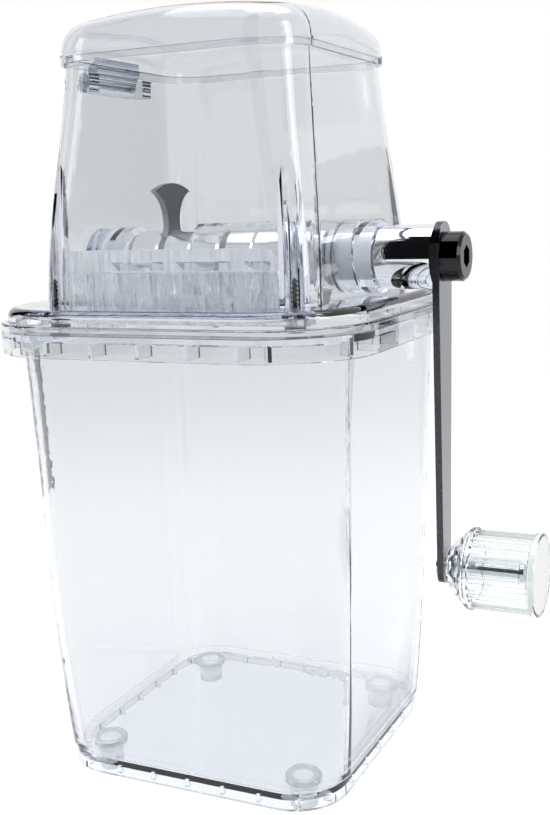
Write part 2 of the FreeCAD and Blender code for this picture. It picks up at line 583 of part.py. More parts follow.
# Comb: clear moulding inside the hopper's front wall. A pierced rail with a foot rail and two screw ears
# carries six sloping fins that reach under the drum; the blades pass between them.
def comb():
    body = new_body("Comb")
    face = "HopperLowHalf - HopperWall - CombGap"
    low = "FlangeTop - FlangeThick - EarThick"
    wall = sketch(body, "CombFace", "XZ_Plane", face)
    outline(wall, [("0 - CombHalf", low), ("CombHalf", low), ("CombHalf", "WindowTop"),
                   ("CombHalf - CombTop + WindowTop", "CombTop"), ("0 - CombHalf", "CombTop")])
    pad(body, "CombPlate", wall, "CombWall", down=True)
    foot = sketch(body, "FootRailPlan", "XY_Plane", low)
    outline(foot, [("0 - PillarReachX - EarWide", "0 - PillarReachY - EarWide"),
                   ("PillarReachX + EarWide", "0 - PillarReachY - EarWide"),
                   ("PillarReachX + EarWide", "0 - PillarReachY + EarWide"),
                   ("0 - PillarReachX - EarWide", "0 - PillarReachY + EarWide")])
    pad(body, "FootRail", foot, "EarThick")
    fin = sketch(body, "FinSide", "YZ_Plane", "0 - 2.5 * FinPitch")
    back = f"0 - ({face}) + CombWall / 2"
    outline(fin, [(back, low), ("0 - FinReach", low),
                  ("0 - FinReach", f"WindowTop - ({face} - FinReach) * tan(FinSlope)"), (back, "WindowTop")])
    one = pad(body, "Fin", fin, "FinThick", middle=True)
    doc.recompute()
    row = body.newObject("PartDesign::LinearPattern", "Fins")
    row.Originals = [one]
    row.Direction = (next(f for f in body.Origin.OriginFeatures if f.Role == "X_Axis"), [""])
    bind(row, "Length", "5 * FinPitch")
    row.Occurrences = 6
    body.Tip = row
    doc.recompute()
    drum = sketch(body, "DrumSpace", "YZ_Plane", "CombHalf")
    disc(drum, "0", "AxisZ", "RingDia + 2 * DrumGap")
    pocket(body, "DrumArc", drum, "2 * CombHalf")
    windows = sketch(body, "Windows", "XZ_Plane", face)
    gap = "FinThick / 2"
    for first, last in (("0 - 2 * FinPitch + FinThick / 2", f"0 - {gap}"),
                        (gap, "2 * FinPitch - FinThick / 2"),
                        (f"2 * FinPitch + {gap}", "CombHalf - FinThick / 2 - 0.5")):
        outline(windows, [(f"{first} + WindowTop - WindowLow", "WindowLow"), (last, "WindowLow"),
                          (last, "WindowTop"),
                          (first, "WindowTop")])
    pocket(body, "Window", windows, "CombWall + 1")
    slots = sketch(body, "Slots", "XZ_Plane", face)
    for centre in ("0 - 1.5 * FinPitch", "0 - 0.5 * FinPitch", "0.5 * FinPitch", "1.5 * FinPitch"):
        left, right = f"{centre} + FinThick / 2 + 0.1", f"{centre} + FinThick / 2 + 0.1 + SlotWide"
        outline(slots, [(left, "SlotZ - SlotHigh / 2"), (right, "SlotZ - SlotHigh / 2"),
                        (right, "SlotZ + SlotHigh / 2"), (left, "SlotZ + SlotHigh / 2")])
    pocket(body, "Slot", slots, "CombWall")
    holes = sketch(body, "EarHoles", "XY_Plane", "FlangeTop - FlangeThick")
    for side in ("PillarReachX", "0 - PillarReachX"):
        disc(holes, side, "0 - PillarReachY", "CombScrewDia + 0.4")
    pocket(body, "EarHole", holes, "EarThick")
    piece(body, "comb")

    screws = []
    for name, side in SIDES:
        x = f"{side} * PillarReachX"
        screws.append(rod(f"ScrewShank_{name}", "Z", "CombScrewDia", "CombScrewLong", x, "0 - PillarReachY",
                          low))
        screws.append(rod(f"ScrewHead_{name}", "Z", "CombScrewHead", "CombScrewHeadHigh", x,
                          "0 - PillarReachY",
                          f"{low} - CombScrewHeadHigh"))
    piece(fuse("CombScrews", *screws), "comb_screws")


# Shaft: steel rod along X. It is round in the right bush, has two flats under the drum so that the blades
# turn with it, and is turned down to the flats' width at its left end, so that blades and rings can be
# threaded on from there.
def shaft():
    half = "3 * RingLong + 1.5 * BladeThick"
    grown = [rod("ShaftLeft_", "X", "ShaftFlats", f"ShaftLeft - ({half})", "0 - ShaftLeft", "0", "AxisZ"),
             rod("ShaftRight_", "X", "ShaftDia", f"ArmIn - ({half})", half, "0", "AxisZ"),
             common("ShaftDrum", rod("DrumRound", "X", "ShaftDia", f"2 * ({half})", f"0 - ({half})", "0",
                                     "AxisZ"),
                    box("DrumFlats", f"2 * ({half})", "ShaftDia", "ShaftFlats", f"0 - ({half})",
                        "0 - ShaftDia / 2",
                        "AxisZ - ShaftFlats / 2")),
             common("ShaftNose", rod("NoseRound", "X", "NoseDia", "ArmThick - NoseShort", "ArmIn", "0",
                                     "AxisZ"),
                    box("NoseBlock", "ArmThick - NoseShort", "NoseDia", "NoseFlats", "ArmIn",
                        "0 - NoseDia / 2",
                        "AxisZ - NoseFlats / 2"))]
    tools = [rod("TapHole", "X", "TapDia", "TapDeep + ArmThick", "ArmIn - TapDeep", "0", "AxisZ")]
    for name, side in SIDES:
        through = "ShaftDia" if side > 0 else "ShaftFlats"
        start = half if side > 0 else f"0 - ({half}) - ClipThick"
        tools.append(cut(f"Groove_{name}",
                         rod(f"GrooveOut_{name}", "X", "ShaftDia + 2", "ClipThick", start, "0", "AxisZ"),
                         rod(f"GrooveIn_{name}", "X", f"{through} - 2 * ClipBite", "ClipThick", start, "0",
                             "AxisZ")))
        ring = cut(f"ClipRing_{name}", rod(f"ClipOut_{name}", "X", f"{through} + 2 * ClipOut", "ClipThick",
                                           start, "0",
                                           "AxisZ"),
                   rod(f"ClipIn_{name}", "X", f"{through} - 2 * ClipBite + 2 * SlipGap", "ClipThick", start,
                       "0",
                       "AxisZ"))
        mouth = box(f"ClipMouth_{name}", "ClipThick", "ClipMouthWide", f"{through} / 2 + ClipOut + 1", start,
                    "0 - ClipMouthWide / 2", f"AxisZ - {through} / 2 - ClipOut - 1")
        piece(cut(f"Clip_{name}", ring, mouth), f"clip_{name}")
    piece(cut("Shaft", fuse("ShaftSolid", *grown), fuse("ShaftCuts", *tools)), "shaft")


# Drum: six chromed rings and three fan blades on the shaft. The blades are set a third of a turn apart and
# lie between the rings, in the middle of the gaps between the comb's fins.
def drum():
    half = "3 * RingLong + 1.5 * BladeThick"
    starts = [f"0 - ({half})"]
    for number in range(1, 6):
        starts.append(f"0 - ({half}) + {number} * RingLong + {(number + 1) // 2} * BladeThick")
    for number, start in enumerate(starts, start=1):
        body = new_body(f"Ring{number}")
        side = sketch(body, f"RingSide{number}", "XZ_Plane", "0", start)
        outline(side, [("0", "ShaftDia / 2 + SlipGap"), ("RingLong", "ShaftDia / 2 + SlipGap"),
                       ("RingLong", "RingDia / 2 - RingEdge"), ("RingLong - RingEdge", "RingDia / 2"),
                       ("RingEdge", "RingDia / 2"), ("0", "RingDia / 2 - RingEdge")])
        turn = body.newObject("PartDesign::Revolution", f"RingTurn{number}")
        turn.Profile = side
        turn.ReferenceAxis = (side, ["H_Axis"])
        put(body, "0", "0", "AxisZ")
        piece(body, f"spacer_{number}")
    tip_y, tip_z = "BladeReach * sin(BladeFan)", "BladeReach * cos(BladeFan)"
    over = f"({tip_y} - BladeWaist / 2)"
    side_radius = f"({over} ^ 2 + ({tip_z} - BladeWaistAt) ^ 2) / (2 * {over})"
    for name, count, turn in (("left", -1, 0), ("middle", 0, 120), ("right", 1, 240)):
        start = f"{count} * (2 * RingLong + BladeThick) - BladeThick / 2"
        fan = common(f"Fan_{name}", rod(f"FanRound_{name}", "X", "2 * BladeReach", "BladeThick", start, "0",
                                        "0"),
                     box(f"FanBox_{name}", "BladeThick", f"2 * {tip_y}", "BladeReach", start, f"0 - {tip_y}",
                         "RingDia / 2 - BladeRoot"))
        sides = [rod(f"FanSide{number}_{name}", "X", f"2 * {side_radius}", "BladeThick + 2", f"{start} - 1",
                     f"{sign} * (BladeWaist / 2 + {side_radius})", "BladeWaistAt")
                 for number, sign in enumerate((-1, 1))]
        hub = rod(f"BladeHub_{name}", "X", "RingDia - 2 * RingEdge", "BladeThick", start, "0", "0")
        hole = common(f"BladeHole_{name}",
                      rod(f"HoleRound_{name}", "X", "ShaftDia + 2 * SlipGap", "BladeThick + 2",
                                               f"{start} - 1", "0", "0"),
                      box(f"HoleFlats_{name}", "BladeThick + 2", "ShaftDia + 2", "ShaftFlats + 2 * SlipGap",
                          f"{start} - 1", "0 - ShaftDia / 2 - 1", "0 - ShaftFlats / 2 - SlipGap"))
        lobe = cut(f"Lobe_{name}", fan, fuse(f"FanSides_{name}", *sides))
        hole.Placement.Rotation = FreeCAD.Rotation(FreeCAD.Vector(1, 0, 0), -turn)
        blade = cut(f"Blade_{name}", fuse(f"BladeSolid_{name}", lobe, hub), hole)
        blade.Placement.Rotation = FreeCAD.Rotation(FreeCAD.Vector(1, 0, 0), turn)
        put(blade, "0", "0", "AxisZ")
        piece(blade, f"blade_{name}")


# Crank: a chromed sleeve on the shaft's end, a flat tapered arm on the shaft's flatted nose, and a socket
# head screw in the shaft's end that clamps the arm against the sleeve and the shaft's shoulder.
def crank():
    tube = rod("SleeveOut", "X", "RingDia", "ArmIn - SleeveStart", "SleeveStart", "0", "AxisZ")
    bore = rod("SleeveBore", "X", "ShaftDia + 2 * SlipGap", "ArmIn - SleeveStart + 2", "SleeveStart - 1", "0",
               "AxisZ")
    piece(cut("Sleeve", tube, bore), "crank_sleeve")

    body = new_body("Arm")
    face = sketch(body, "ArmFace", "YZ_Plane", "ArmIn")
    top, end = "AxisZ + ArmHeadUp - ArmHeadWide / 2", "AxisZ - CrankRadius - ArmTipDown + ArmTipWide / 2"
    outline(face, [("0 - ArmHeadWide / 2", top), ("0 - ArmHeadWide / 2", "AxisZ - ArmHeadUp"),
                   ("0 - ArmTipWide / 2", end),
                   ("ArmTipWide / 2", end), ("ArmHeadWide / 2", "AxisZ - ArmHeadUp"),
                   ("ArmHeadWide / 2", top)])
    pad(body, "ArmPlate", face, "ArmThick")
    plate = fuse("ArmSolid", body, rod("ArmTop", "X", "ArmHeadWide", "ArmThick", "ArmIn", "0", top),
                 rod("ArmEnd", "X", "ArmTipWide", "ArmThick", "ArmIn", "0", end))
    hole = common("ArmHole", rod("ArmHoleRound", "X", "NoseDia + 2 * SlipGap", "ArmThick + 2", "ArmIn - 1",
                                 "0", "AxisZ"),
                  box("ArmHoleFlats", "ArmThick + 2", "NoseDia + 2", "NoseFlats + 2 * SlipGap", "ArmIn - 1",
                      "0 - NoseDia / 2 - 1", "AxisZ - NoseFlats / 2 - SlipGap"))
    pin_hole = rod("ArmPinHole", "X", "GripPinDia + 2 * FitGap", "ArmThick + 2", "ArmIn - 1", "0",
                   "AxisZ - CrankRadius")
    piece(cut("CrankArm", plate, fuse("ArmHoles", hole, pin_hole)), "crank_arm")

    outer = "ArmIn + ArmThick"
    head = new_body("ScrewHeadBody")
    side = sketch(head, "ScrewSide", "XZ_Plane", "0", outer)
    outline(side, [("0", "0"), ("ScrewHeadHigh", "0"), ("ScrewHeadHigh", "ScrewHead / 2 - ScrewEdge"),
                   ("ScrewHeadHigh - ScrewEdge", "ScrewHead / 2"), ("ScrewEdge / 3", "ScrewHead / 2"),
                   ("0", "ScrewHead / 2 - ScrewEdge / 3")])
    turn = head.newObject("PartDesign::Revolution", "ScrewTurn")
    turn.Profile = side
    turn.ReferenceAxis = (side, ["H_Axis"])
    put(head, "0", "0", "AxisZ")
    stem = rod("ScrewStem", "X", "TapDia - 2 * SlipGap", "ScrewLong", f"{outer} - ScrewLong", "0", "AxisZ")
    socket = doc.addObject("Part::Prism", "ScrewSocket_")
    socket.Polygon = 6
    bind(socket, "Circumradius", "ScrewSocket / 2")
    bind(socket, "Height", "ScrewSocketDeep + 1")
    socket.Placement.Rotation = AXES["X"]
    put(socket, f"{outer} + ScrewHeadHigh - ScrewSocketDeep", "0", "AxisZ")
    piece(cut("CrankScrew", fuse("ScrewSolid", head, stem), socket), "crank_screw")


# Grip: a hollow clear knob with ribs that turns on a steel pin riveted through the arm; a white disc closes
# its outer end. The pin's own head holds the knob on.
def grip():
    grip_z = "AxisZ - CrankRadius"
    start = "ArmIn + ArmThick + GripGap"
    body = new_body("Grip")
    side = sketch(body, "GripSide", "XZ_Plane", "0", start)
    seat = "GripLong - CapInset - CapThick"
    hub_end = "PinReach - GripGap - PinPlay"
    bore, hollow, cap = "GripPinDia / 2 + PinGap", "GripBarrel - GripWall", "GripLip - GripLipWall"
    outline(side, [("0", bore), ("0", "GripNose - 1.2"), ("0.5", "GripNose"), ("2.2", "GripNose + 2.3"),
                   ("4.2", "GripShoulder - 0.6"), ("5", "GripShoulder"), ("6.6", "GripLip - 0.4"),
                   ("7.2", "GripLip"),
                   ("8.4", "GripLip"), ("9", "GripBarrel"), ("GripLong - 2.6", "GripBarrel"),
                   ("GripLong - 2", "GripLip"), ("GripLong - 0.4", "GripLip"), ("GripLong", "GripLip - 0.4"),
                   ("GripLong", cap), (seat, cap), (seat, hollow), ("7", hollow), ("4", "GripNose"),
                   ("3", "GripHub"), (hub_end, "GripHub"), (hub_end, bore)])
    turn = body.newObject("PartDesign::Revolution", "GripTurn")
    turn.Profile = side
    turn.ReferenceAxis = (side, ["H_Axis"])
    doc.recompute()
    rib = sketch(body, "RibSide", "XZ_Plane", "0", start)
    outline(rib, [("8.7", "GripBarrel - 0.5"), ("GripLong - 2.3", "GripBarrel - 0.5"),
                  ("GripLong - 2.3", "GripBarrel + GripRib"),
                  ("8.7", "GripBarrel + GripRib")])
    one = pad(body, "Rib", rib, "GripRibWide", middle=True)
    doc.recompute()
    ribs = body.newObject("PartDesign::PolarPattern", "Ribs")
    ribs.Originals = [one]
    ribs.Axis = (side, ["H_Axis"])
    ribs.Angle = 360
    bind(ribs, "Occurrences", "GripRibCount")
    body.Tip = ribs
    put(body, "0", "0", grip_z)
    piece(body, "grip")

    piece(rod("GripCap", "X", "2 * (GripLip - GripLipWall - FitGap)", "CapThick", f"{start} + {seat}", "0",
              grip_z), "grip_cap")

    reach = "ArmThick + PinReach"
    pin = fuse("GripPin", rod("PinRod", "X", "GripPinDia", f"{reach} + RivetHigh", "ArmIn - RivetHigh", "0",
                              grip_z),
               rod("PinRivet", "X", "PinHead", "RivetHigh", "ArmIn - RivetHigh", "0", grip_z),
               rod("PinHeadEnd", "X", "PinHead", "PinHeadHigh", f"ArmIn + {reach}", "0", grip_z))
    piece(pin, "grip_pin")


# Lid: clear domed cover with a bead round its edge. Its side wall rests on the hopper's top edge inside the
# bead, and its barrel turns on a steel pin held by the hopper's ears.
def lid():
    blocks = []
    for name, inset, drop, low in (("Out", "LidBeadOut", "0", "LidBottom"),
                                   ("In", "LidBeadOut + LidSideThick", "LidThick", "HopperTop - 0.5")):
        body = new_body(f"LidBlock{name}")
        plan = rounded(body, f"LidPlan{name}", low, f"LidHalfX - ({inset})", f"LidHalfY - ({inset})",
                       f"LidCorner - ({inset})")
        pad(body, f"LidPad{name}", plan, f"LidTop + 1 - ({low})")
        crown = doc.addObject("Part::Sphere", f"LidCrown{name}")
        bind(crown, "Radius", f"LidCrown - {drop}")
        put(crown, "0", "0", "LidTop - LidCrown")
        dome = common(f"LidDome{name}", body, crown)
        doc.recompute()
        radius = value(f"LidRound - {drop}")
        top = value(f"LidTop - {drop}")
        edges = [(number, radius, radius) for number, edge in enumerate(dome.Shape.Edges, start=1)
                 if edge.BoundBox.ZMin > top - 12 and edge.BoundBox.ZLength < 4]
        soft = doc.addObject("Part::Fillet", f"LidSoft{name}")
        soft.Base = dome
        soft.Edges = edges
        doc.recompute()
        blocks.append(soft)
    bead = new_body("LidBead_")
    pad(bead, "LidBeadPad", rounded(bead, "LidBeadPlan", "LidBottom", "LidHalfX", "LidHalfY", "LidCorner"),
        "LidBead")
    mouth = new_body("LidMouth_")
    half, corner = "HopperMouthHalf + LidGap", "MouthCorner + LidGap"
    pad(mouth, "LidMouthPad", rounded(mouth, "LidMouthPlan", "LidBottom - 1", half, half, corner),
        "HopperTop - LidBottom + 1")
    grown = [blocks[0], bead, rod("LidBarrel", "Y", "2 * KnuckleRad", "2 * KnuckleHalf", "0 - HingeReach",
                                  "0 - KnuckleHalf", "HingeZ")]
    arm = new_body("LidHingeArm")
    side = sketch(arm, "LidArmSide", "XZ_Plane")
    outer, rise = "LidHalfX - LidBeadOut / 2", "LidBottom + LidBead"
    outline(side, [("0 - HingeReach - KnuckleRad", "HingeZ"),
                   ("0 - HingeReach - KnuckleRad", "HingeZ + KnuckleRad / 2"),
                   (f"0 - ({outer})", f"{rise} + 2"), (f"0 - ({outer})", "LidBottom"),
                   ("0 - LidHalfX", "LidBottom"),
                   ("0 - HingeReach + KnuckleRad", "HingeZ")])
    pad(arm, "LidArmPad", side, "2 * KnuckleHalf", middle=True)
    grown.append(arm)
    pin = rod("LidBore", "Y", "HingePinDia + 2 * PinGap", "2 * KnuckleHalf + 2", "0 - HingeReach",
              "0 - KnuckleHalf - 1",
              "HingeZ")
    piece(cut("Lid", fuse("LidSolid", *grown), fuse("LidHollow", blocks[1], mouth, pin)), "lid")
    piece(rod("HingePin", "Y", "HingePinDia", "2 * EarOut", "0 - HingeReach", "0 - EarOut", "HingeZ"),
          "hinge_pin")


container()
feet()
hopper()
bushes()
comb()
shaft()
drum()
crank()
grip()
lid()
doc.removeObject("Slate")
doc.recompute()

faults = [thing.Name for thing in doc.Objects if "Invalid" in thing.State or "Error" in thing.State]
for thing in pieces:
    if thing.Shape.isNull() or not thing.Shape.isValid() or not thing.Shape.Solids:
        faults.append(thing.Label)
if faults:
    raise RuntimeError(f"failed: {faults}")
os.makedirs("parts", exist_ok=True)
for thing in pieces:
    thing.Shape.exportStep(f"parts/{thing.Label}.step")
    print(thing.Label, len(thing.Shape.Solids), round(thing.Shape.Volume, 1))
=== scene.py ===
import math

import bmesh
import bpy
from mathutils import Matrix, Vector


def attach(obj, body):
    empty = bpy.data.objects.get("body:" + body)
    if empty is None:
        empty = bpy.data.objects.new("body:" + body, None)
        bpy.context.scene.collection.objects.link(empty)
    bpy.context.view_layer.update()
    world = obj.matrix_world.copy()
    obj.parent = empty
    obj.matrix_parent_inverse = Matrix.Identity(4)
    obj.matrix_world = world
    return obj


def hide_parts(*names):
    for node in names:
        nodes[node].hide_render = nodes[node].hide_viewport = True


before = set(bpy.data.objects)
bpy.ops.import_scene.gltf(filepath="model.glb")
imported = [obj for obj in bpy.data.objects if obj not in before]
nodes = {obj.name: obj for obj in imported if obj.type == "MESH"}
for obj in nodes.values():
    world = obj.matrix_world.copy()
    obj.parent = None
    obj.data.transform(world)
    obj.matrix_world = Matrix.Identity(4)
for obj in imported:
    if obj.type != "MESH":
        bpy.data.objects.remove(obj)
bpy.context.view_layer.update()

scene = bpy.context.scene
scene.view_settings.view_transform = "Standard"
wall_crossings = 24  # a line of sight passes many faces of clear plastic
scene.cycles.max_bounces = wall_crossings
scene.cycles.transmission_bounces = wall_crossings
scene.cycles.transparent_max_bounces = wall_crossings
scene.cycles.glossy_bounces = 8


# Camera. It stands at the front right, level with the hopper and tilted slightly down, so that the comb side, the
# crank side and the inside of the container's floor all show. Metres; the lens is in millimetres.
lens = bpy.data.cameras.new("studio_lens")
lens.sensor_fit = "HORIZONTAL"
lens.sensor_width = 36
lens.lens = 74.77
lens.clip_start = 0.01
camera = bpy.data.objects.new("studio_camera", lens)
camera.matrix_world = Matrix(((0.9055, -0.0444, 0.4221, 0.1713), (0.4232, 0.1709, -0.8898, -0.33406),
                              (-0.0327, 0.9843, 0.1735, 0.1830), (0, 0, 0, 1)))
scene.collection.objects.link(camera)
scene.camera = camera


# Studio. White paper sweep and world, seen as white by the camera and through the clear plastic, with a soft box
# overhead and one at each side. Black boards stand out of view and draw the dark lines in plastic and chrome.
def linear(code):
    """An sRGB hex colour as the linear red, green, blue and alpha that a shader takes."""
    parts = [int(code[at:at + 2], 16) / 255 for at in (1, 3, 5)]
    return (*[c / 12.92 if c <= 0.04045 else ((c + 0.055) / 1.055) ** 2.4 for c in parts], 1)


def add(tree, kind, links=(), **values):
    """Adds a node to a tree, sets its options and sockets, and links sockets to others."""
    node = tree.nodes.new(kind)
    for name, value in values.items():
        if hasattr(node, name):
            setattr(node, name, value)
        else:
            node.inputs[name.replace("_", " ")].default_value = value
    for socket, source in links:
        tree.links.new(source, node.inputs[socket])
    return node


def white_for_sight(tree, light, backdrop):
    """The backdrop's white for rays of sight, and a plain studio level for all other rays."""
    rays = add(tree, "ShaderNodeLightPath").outputs
    seen = rays["Is Camera Ray"]
    for kind in ("Is Glossy Ray", "Is Transmission Ray"):
        seen = add(tree, "ShaderNodeMath", [(0, seen), (1, rays[kind])], operation="MAXIMUM").outputs[0]
    return add(tree, "ShaderNodeMixShader", [(0, seen), (1, light.outputs[0]), (2, backdrop.outputs[0])])


world = bpy.data.worlds.new("studio_air")
world.use_nodes = True
air = world.node_tree
air.nodes.clear()
plain = add(air, "ShaderNodeBackground", Color=linear("#FFFFFF"), Strength=0.55)
white = add(air, "ShaderNodeBackground", Color=linear("#FFFFFF"), Strength=1.0)
mixed = white_for_sight(air, plain, white)
add(air, "ShaderNodeOutputWorld", [("Surface", mixed.outputs[0])])
scene.world = world

half_width, gap_under_feet = 4, 0.0002
sweep_mesh = bmesh.new()
bmesh.ops.create_grid(sweep_mesh, x_segments=2, y_segments=2, size=half_width)
sweep_data = bpy.data.meshes.new("paper_sweep")
sweep_mesh.to_mesh(sweep_data)
sweep_mesh.free()
paper = bpy.data.materials.new("white_paper")
paper.use_nodes = True
tree = paper.node_tree
tree.nodes.clear()
# Near the object the paper takes its shadow; 0.34 m out it starts to turn into even white, and at 0.85 m it is.
spot = add(tree, "ShaderNodeTexCoord")
away = add(tree, "ShaderNodeVectorMath", [(0, spot.outputs["Object"])], operation="LENGTH")
far = add(tree, "ShaderNodeMapRange", [("Value", away.outputs["Value"])], From_Min=0.34, From_Max=0.85)
matt = add(tree, "ShaderNodeBsdfDiffuse", Color=linear("#F4F4F4"))
glow = add(tree, "ShaderNodeEmission", Color=linear("#FFFFFF"), Strength=0.6)
lit = add(tree, "ShaderNodeBsdfDiffuse", Color=linear("#C8C8C8"))
near = add(tree, "ShaderNodeAddShader", [(0, glow.outputs[0]), (1, lit.outputs[0])])
even = add(tree, "ShaderNodeEmission", Color=linear("#FFFFFF"), Strength=1.0)
seen = add(tree, "ShaderNodeMixShader", [(0, far.outputs[0]), (1, near.outputs[0]), (2, even.outputs[0])])
mixed = white_for_sight(tree, matt, seen)
add(tree, "ShaderNodeOutputMaterial", [("Surface", mixed.outputs[0])])
sweep_data.materials.append(paper)
sweep = bpy.data.objects.new("paper_sweep", sweep_data)
sweep.location.z = -gap_under_feet
scene.collection.objects.link(sweep)


def soft_box(name, place, aim, wide, high, watts):
    """A rectangular soft light of a width and height in metres, aimed at a point."""
    light = bpy.data.lights.new(name, "AREA")
    light.shape = "RECTANGLE"
    light.size, light.size_y, light.energy = wide, high, watts
    lamp = bpy.data.objects.new(name, light)
    lamp.location = place
    lamp.rotation_euler = (Vector(aim) - Vector(place)).to_track_quat("-Z", "Y").to_euler()
    scene.collection.objects.link(lamp)


middle = (0, 0, 0.12)
soft_box("top_box", (0, 0, 1.3), (0, 0, 0), 1.2, 1.2, 9)
soft_box("left_box", (-1.1, -0.7, 0.5), middle, 0.5, 1.0, 5)
soft_box("right_box", (1.3, -0.3, 0.7), middle, 0.4, 0.9, 4)


board_level = 0.16


def board(name, tone, reach, side, low, high, glossy=True, through=True, inside=False):
    """A bent card round the table, from one compass angle to another and between two heights above the horizon.

    Only reflections (glossy) and refracted rays (through) meet it, or only rays that were also reflected inside the
    plastic (inside), so that it isn't seen behind the walls. Reach is in metres from a point on the object's axis at
    board_level. Angles are in degrees, and compass angles turn from +Y towards +X.
    """
    card = bpy.data.materials.new(name)
    card.use_nodes = True
    tree = card.node_tree
    tree.nodes.clear()
    dark = add(tree, "ShaderNodeEmission", Color=linear(tone), Strength=1.0)
    if inside:
        path = add(tree, "ShaderNodeLightPath")
        gap = add(tree, "ShaderNodeBsdfTransparent")
        dark = add(tree, "ShaderNodeMixShader",
                   [(0, path.outputs["Glossy Depth"]), (1, gap.outputs[0]), (2, dark.outputs[0])])
    add(tree, "ShaderNodeOutputMaterial", [("Surface", dark.outputs[0])])
    shape = bmesh.new()
    bottom, top = math.radians(low), math.radians(high)
    start, sweep_angle = -math.radians(side[0]), -math.radians(side[1] - side[0])
    rib = [shape.verts.new((0, reach * math.cos(bottom), reach * math.sin(bottom)))]
    bmesh.ops.spin(shape, geom=rib, cent=(0, 0, 0), axis=(1, 0, 0), angle=top - bottom, steps=12,
                   use_duplicate=False)
    bmesh.ops.rotate(shape, cent=(0, 0, 0), matrix=Matrix.Rotation(start, 3, "Z"), verts=shape.verts)
    bmesh.ops.spin(shape, geom=shape.verts[:] + shape.edges[:], cent=(0, 0, 0), axis=(0, 0, 1), angle=sweep_angle,
                   steps=16, use_duplicate=False)
    bmesh.ops.translate(shape, vec=(0, 0, board_level), verts=shape.verts)
    data = bpy.data.meshes.new(name)
    shape.to_mesh(data)
    shape.free()
    data.materials.append(card)
    hung = bpy.data.objects.new(name, data)
    hung.visible_camera = hung.visible_shadow = hung.visible_diffuse = False
    hung.visible_glossy, hung.visible_transmission = glossy, through
    scene.collection.objects.link(hung)


board("front_board", "#131315", 1.1, (110, 290), -5, 72, through=False)
board("crank_board", "#131315", 1.2, (168, 204), -5, 72, glossy=False, inside=True)
board("left_board", "#10121E", 0.4, (-70, -58), -22, -9, glossy=False)
board("pillar_board", "#0C0C0E", 1.6, (-90, -79), -6, 8, glossy=False, inside=True)
board("right_board", "#0C0C0E", 1.6, (12, 38), -6, 8, glossy=False, inside=True)


# Container, hopper and lid. Clear SAN mouldings: a tapered square cup with a ribbed rim, and a hopper that stands on
# its ledge with a domed lid pinned to it. SAN shows almost no colour in its walls and a cold tint along its edges.
def clear_san(name, tint, depth, rough=0.0, spread=0.03, pass_through=1.0):
    """Moulded SAN: smooth and glassy, with the faint waviness of a moulded wall.

    It turns lavender where it is looked at edge on, because the light then runs a long way inside it: depth is how
    fast. Its roughness wanders from rough to rough + spread, and pass_through is the share of light let in.
    """
    material = bpy.data.materials.new(name)
    material.use_nodes = True
    tree = material.node_tree
    tree.nodes.clear()
    place = add(tree, "ShaderNodeTexCoord")
    flow = add(tree, "ShaderNodeTexNoise", [("Vector", place.outputs["Object"])], Scale=38.0, Detail=2.0)
    wave = add(tree, "ShaderNodeBump", [("Height", flow.outputs["Fac"])], Strength=0.04, Distance=0.001)
    level = add(tree, "ShaderNodeMapRange", [("Value", flow.outputs["Fac"])], To_Min=rough, To_Max=rough + spread)
    plastic = add(tree, "ShaderNodeBsdfPrincipled",
                  [("Normal", wave.outputs[0]), ("Roughness", level.outputs[0])],
                  Base_Color=linear(tint), IOR=1.57, Transmission_Weight=pass_through)
    rays = add(tree, "ShaderNodeLightPath")
    through = add(tree, "ShaderNodeBsdfTransparent", Color=linear("#FAFBFC"))
    mixed = add(tree, "ShaderNodeMixShader", [(0, rays.outputs["Is Shadow Ray"]), (1, plastic.outputs[0]),
                                              (2, through.outputs[0])])
    inside = add(tree, "ShaderNodeVolumeAbsorption", Color=linear("#A0A9F6"), Density=depth)
    add(tree, "ShaderNodeOutputMaterial", [("Surface", mixed.outputs[0]), ("Volume", inside.outputs[0])])
    return material


def finish_with(material, *names):
    """Gives carried-over pieces their finish."""
    for name in names:
        piece = nodes[name]
        piece.data.materials.clear()
        piece.data.materials.append(material)


clear = clear_san("clear_san", "#EEF0F0", 13.0)
finish_with(clear, "container", "hopper", "lid")


# Feet. Soft clear TPE plugs pressed into the floor: a little cloudy, so they look greyer than the hard plastic.
soft_clear = clear_san("soft_tpe", "#F8F9F8", 4.0, rough=0.06, spread=0.06, pass_through=0.72)
finish_with(soft_clear, "foot_front_left", "foot_front_right", "foot_rear_left", "foot_rear_right")


# Comb. The same SAN, from a tool that is sparked at the rail, so that the rail and its posts read as pale lavender,
# and wavy below it, where the fins break the light into slanting streaks. It is screwed in behind the front wall.
frosted = clear_san("frosted_san", "#FCFDFF", 4.0)
tree = frosted.node_tree
plastic = tree.nodes["Principled BSDF"]
place = add(tree, "ShaderNodeTexCoord")
split = add(tree, "ShaderNodeSeparateXYZ", [(0, place.outputs["Object"])])
rail = add(tree, "ShaderNodeMapRange", [("Value", split.outputs["Z"])], From_Min=0.1642, From_Max=0.1652)
lean = add(tree, "ShaderNodeMapping", [("Vector", place.outputs["Object"])], Rotation=(0, 0.22, 0),
           Scale=(420, 160, 60))
streaks = add(tree, "ShaderNodeTexNoise", [("Vector", lean.outputs[0])], Scale=1.0, Detail=3.0)
cuts = add(tree, "ShaderNodeBump", [("Height", streaks.outputs["Fac"])], Strength=0.9, Distance=0.002)
sheen = add(tree, "ShaderNodeMapRange", [("Value", rail.outputs[0])], To_Min=0.04, To_Max=0.34)
open_share = add(tree, "ShaderNodeMapRange", [("Value", rail.outputs[0])], To_Min=0.88, To_Max=0.4)
for socket, source in (("Normal", cuts), ("Roughness", sheen), ("Transmission Weight", open_share)):
    tree.links.new(source.outputs[0], plastic.inputs[socket])
finish_with(frosted, "comb")


